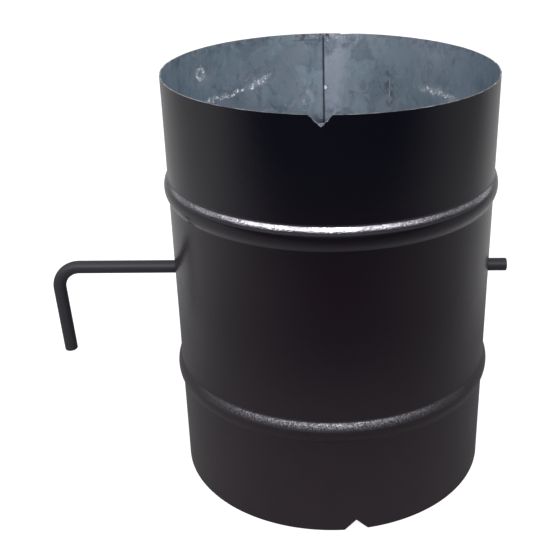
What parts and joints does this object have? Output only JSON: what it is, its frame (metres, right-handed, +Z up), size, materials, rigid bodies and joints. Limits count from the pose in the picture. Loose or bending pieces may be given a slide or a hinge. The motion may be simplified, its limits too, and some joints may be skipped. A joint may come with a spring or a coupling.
{
  "type": "stove pipe damper",
  "caption": "Short round stove pipe section with rolled beads and a turning draught plate inside, worked by a bent round rod that passes through the wall.",
  "frame": {"origin": "on the pipe's axis, in the plane of the bottom rim", "axes": "+Z up along the pipe's axis, X along the rod with the handle at -X, -Y to the front with the notches"},
  "size_m": [0.2256, 0.1568, 0.2],
  "materials": {
    "black_heat_paint": "satin black heat paint, bare zinc on the pipe's inside",
    "galvanised_sheet": "dull zinc coat"
  },
  "bodies": {
    "pipe": {"pipe_shell": "black_heat_paint"},
    "damper": {"control_rod": "black_heat_paint", "damper_plate": "galvanised_sheet", "left_saddle": "galvanised_sheet", "right_saddle": "galvanised_sheet", "saddle_rivets": "galvanised_sheet"}
  },
  "joints": [
    {"name": "damper_turn", "type": "hinge", "parent": "pipe", "child": "damper", "pos_m": [0, 0, 0.1017], "axis": [1, 0, 0], "continuous": true}
  ]
}
